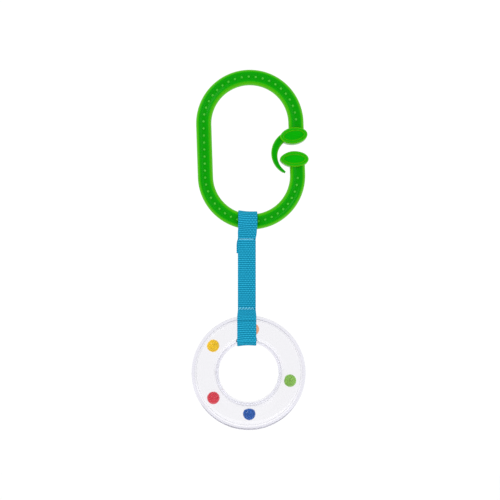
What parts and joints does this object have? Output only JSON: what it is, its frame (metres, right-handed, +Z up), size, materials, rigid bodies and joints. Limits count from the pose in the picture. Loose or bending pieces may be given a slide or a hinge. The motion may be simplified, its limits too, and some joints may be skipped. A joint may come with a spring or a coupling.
{
  "type": "baby rattle",
  "caption": "Hanging baby rattle: a C-shaped clip-on link, a sewn webbing strap and a clear hollow ring with loose coloured beads.",
  "frame": {"origin": "where the link's inner top edge rests on the bar that it hangs from", "axes": "+Z up along the hanging rattle, -Y the front that faces the viewer, +X towards the link's mouth"},
  "size_m": [0.0759, 0.017, 0.2339],
  "materials": {
    "link_green": "glossy moulded plastic, lime green",
    "strap_blue": "woven polyester webbing, teal blue",
    "thread_blue": "polyester sewing thread, pale blue",
    "clear_plastic": "clear moulded plastic, polished",
    "bead_orange": "translucent moulded plastic, orange",
    "bead_yellow": "translucent moulded plastic, yellow",
    "bead_red": "translucent moulded plastic, red",
    "bead_blue": "translucent moulded plastic, blue",
    "bead_green": "translucent moulded plastic, green"
  },
  "bodies": {
    "link": {"link_frame": "link_green"},
    "tongue": {"link_tongue": "link_green"},
    "strap_top": {"strap_upper_loop": "strap_blue", "upper_stitching": "thread_blue"},
    "strap_mid": {"strap_middle": "strap_blue"},
    "strap_bottom": {"strap_lower_loop": "strap_blue", "lower_stitching": "thread_blue"},
    "ring": {"ring_front_shell": "clear_plastic", "ring_rear_shell": "clear_plastic"},
    "orange": {"bead_orange": "bead_orange"},
    "yellow": {"bead_yellow": "bead_yellow"},
    "red": {"bead_red": "bead_red"},
    "blue": {"bead_blue": "bead_blue"},
    "green": {"bead_green": "bead_green"}
  },
  "joints": [
    {"name": "tongue_flex", "type": "hinge", "parent": "link", "child": "tongue", "pos_m": [0.01981, 0, -0.03601], "axis": [0, 1, 0], "range_deg": [0, 18], "stiffness_Nm_per_rad": 0.05},
    {"name": "strap_slide", "type": "hinge", "parent": "link", "child": "strap_top", "pos_m": [0.0011, 0, -0.0589], "axis": [0, -1, 0], "range_deg": [-70, 70]},
    {"name": "upper_fold", "type": "hinge", "parent": "strap_top", "child": "strap_mid", "pos_m": [-0.0016, 0, -0.1028], "axis": [1, 0, 0], "range_deg": [-90, 90]},
    {"name": "lower_fold", "type": "hinge", "parent": "strap_mid", "child": "strap_bottom", "pos_m": [-0.0016, 0, -0.1429], "axis": [1, 0, 0], "range_deg": [-90, 90]},
    {"name": "ring_turn", "type": "hinge", "parent": "strap_bottom", "child": "ring", "pos_m": [-0.0008, 0, -0.1869], "axis": [0, -1, 0], "continuous": true},
    {"name": "orange_roll", "type": "hinge", "parent": "ring", "child": "orange", "pos_m": [-0.0008, 0, -0.1869], "axis": [0, -1, 0], "range_deg": [-77, 41]},
    {"name": "yellow_roll", "type": "hinge", "parent": "ring", "child": "yellow", "pos_m": [-0.0008, 0, -0.1869], "axis": [0, -1, 0], "range_deg": [-41, 55]},
    {"name": "red_roll", "type": "hinge", "parent": "ring", "child": "red", "pos_m": [-0.0008, 0, -0.1869], "axis": [0, -1, 0], "range_deg": [-55, 36.5]},
    {"name": "blue_roll", "type": "hinge", "parent": "ring", "child": "blue", "pos_m": [-0.0008, 0, -0.1869], "axis": [0, -1, 0], "range_deg": [-36.5, 59.5]},
    {"name": "green_roll", "type": "hinge", "parent": "ring", "child": "green", "pos_m": [-0.0008, 0, -0.1869], "axis": [0, -1, 0], "range_deg": [-59.5, 77]}
  ]
}
